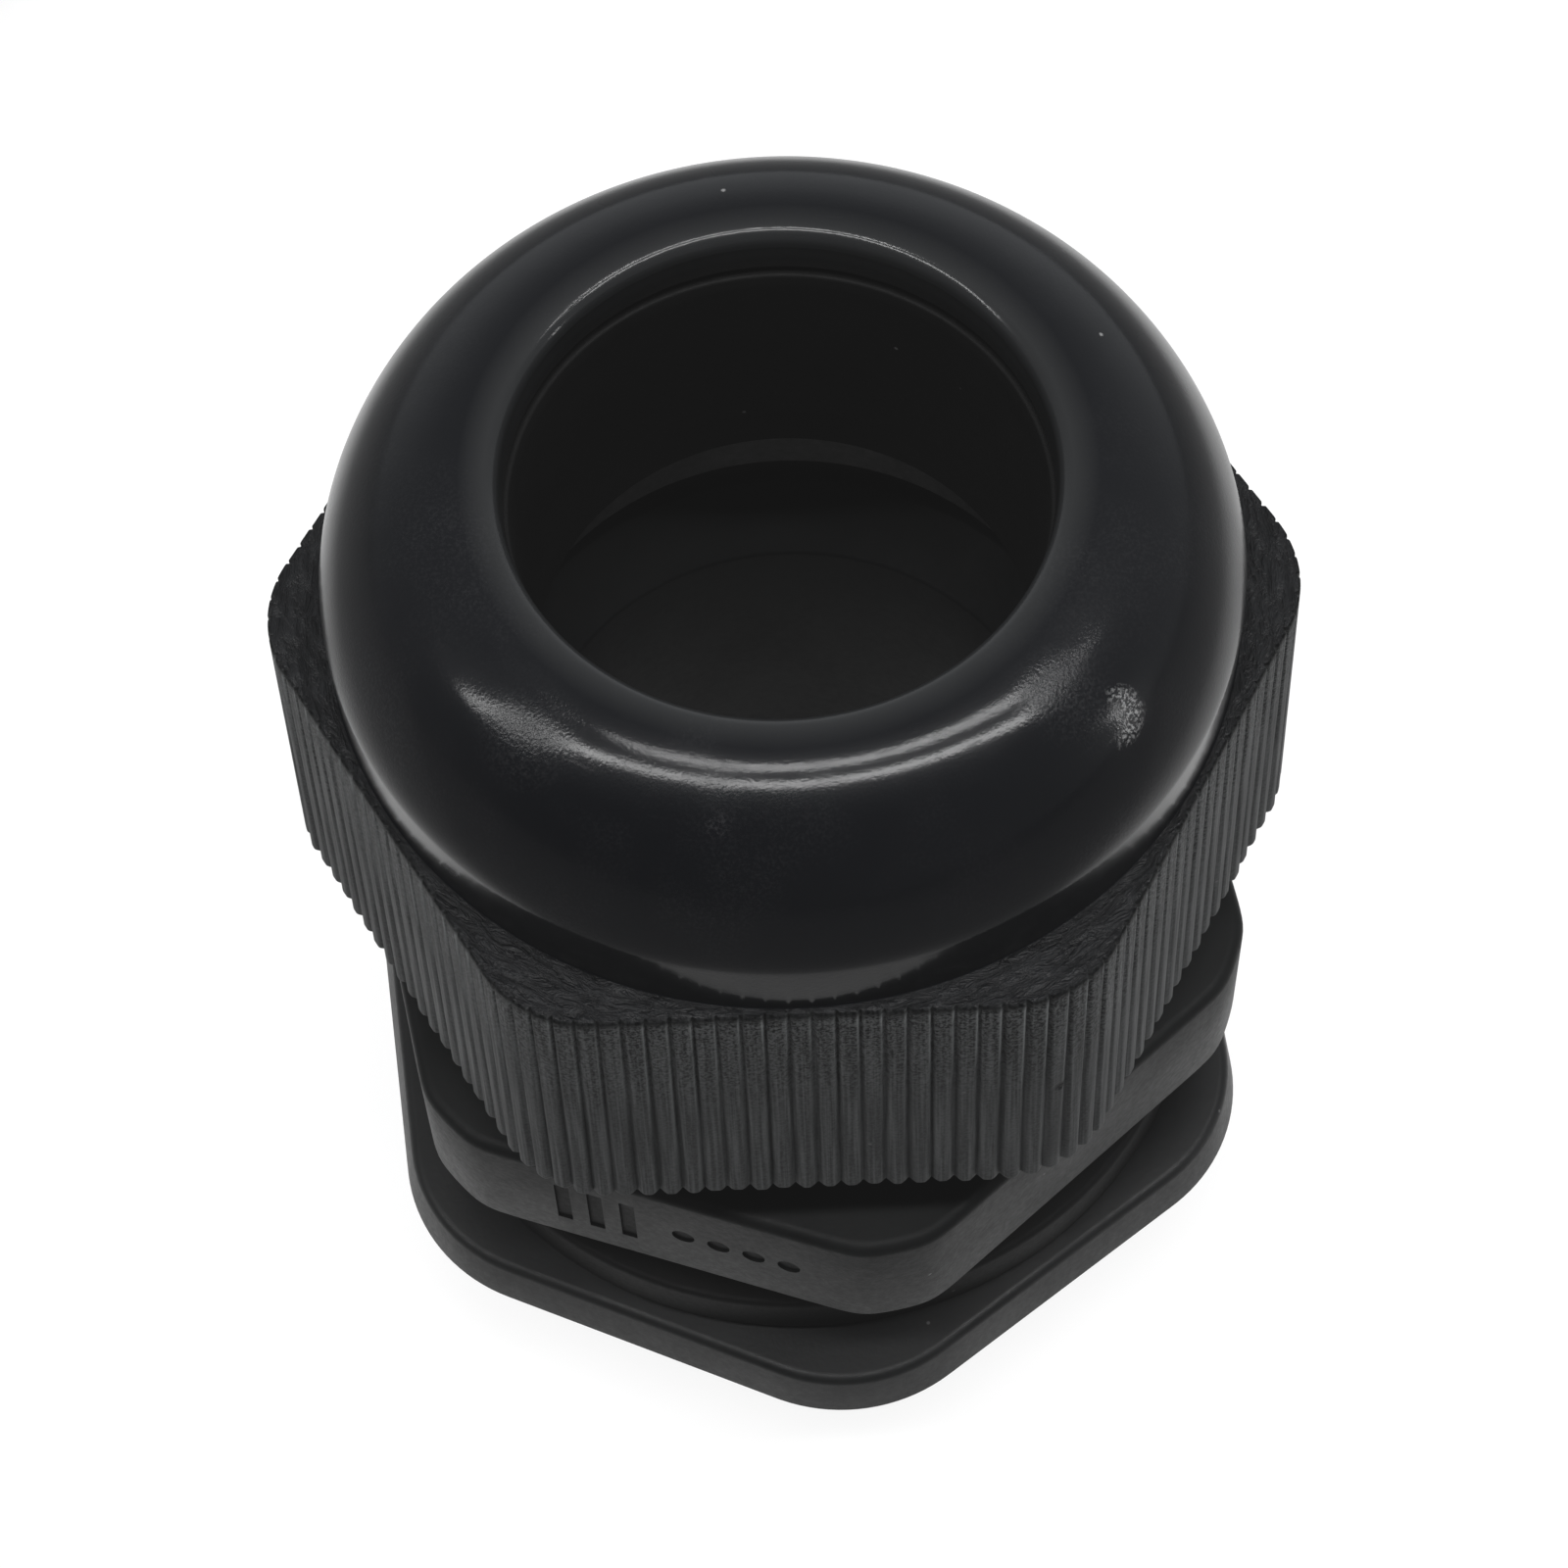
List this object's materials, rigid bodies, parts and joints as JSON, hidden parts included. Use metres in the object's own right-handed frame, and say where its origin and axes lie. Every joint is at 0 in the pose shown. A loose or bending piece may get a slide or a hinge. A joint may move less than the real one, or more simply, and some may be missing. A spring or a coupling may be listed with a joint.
{
  "type": "cable gland",
  "caption": "Nylon cable gland: domed clamping nut and rubber seal on a hexagonal body, with a tapered entry thread, flat gasket and locknut.",
  "frame": {"origin": "centre of the entry thread's free end, the lowest face of the part", "axes": "+Z along the cable passage from the entry end towards the domed nut; a flat of the nut faces -Y"},
  "size_m": [0.0374, 0.0372, 0.0467],
  "materials": {
    "body_nylon": "black moulded nylon, satin matte",
    "insert_nylon": "black moulded nylon, satin matte",
    "seal_rubber": "black rubber, dull",
    "nut_nylon": "black nylon, polished dome over matte ribbed skirt",
    "gasket_rubber": "black rubber, dull",
    "locknut_nylon": "black moulded nylon, satin matte"
  },
  "bodies": {
    "body": {"gland_body": "body_nylon"},
    "insert": {"clamp_insert": "insert_nylon", "seal_grommet": "seal_rubber"},
    "nut": {"dome_nut": "nut_nylon"},
    "washer": {"gasket": "gasket_rubber"},
    "lock": {"locknut": "locknut_nylon"}
  },
  "joints": [
    {"name": "insert_travel", "type": "slide", "parent": "body", "child": "insert", "axis": [0, 0, 1], "range_m": [-0.00301, 0.00701]},
    {"name": "nut_turn", "type": "hinge", "parent": "insert", "child": "nut", "pos_m": [0, 0, 0.0382], "axis": [0, 0, 1], "range_deg": [-540, 1260]},
    {"name": "washer_travel", "type": "slide", "parent": "body", "child": "washer", "axis": [0, 0, 1], "range_m": [-0.00545, 0.00255]},
    {"name": "lock_turn", "type": "hinge", "parent": "washer", "child": "lock", "pos_m": [0, 0, 0.0083], "axis": [0, 0, 1], "range_deg": [-1080, 504]}
  ],
  "couplings": [
    {"joint": "insert_travel", "follows": "nut_turn", "m_per_rad": 0.00031831},
    {"joint": "washer_travel", "follows": "lock_turn", "m_per_rad": 0.00028875}
  ]
}
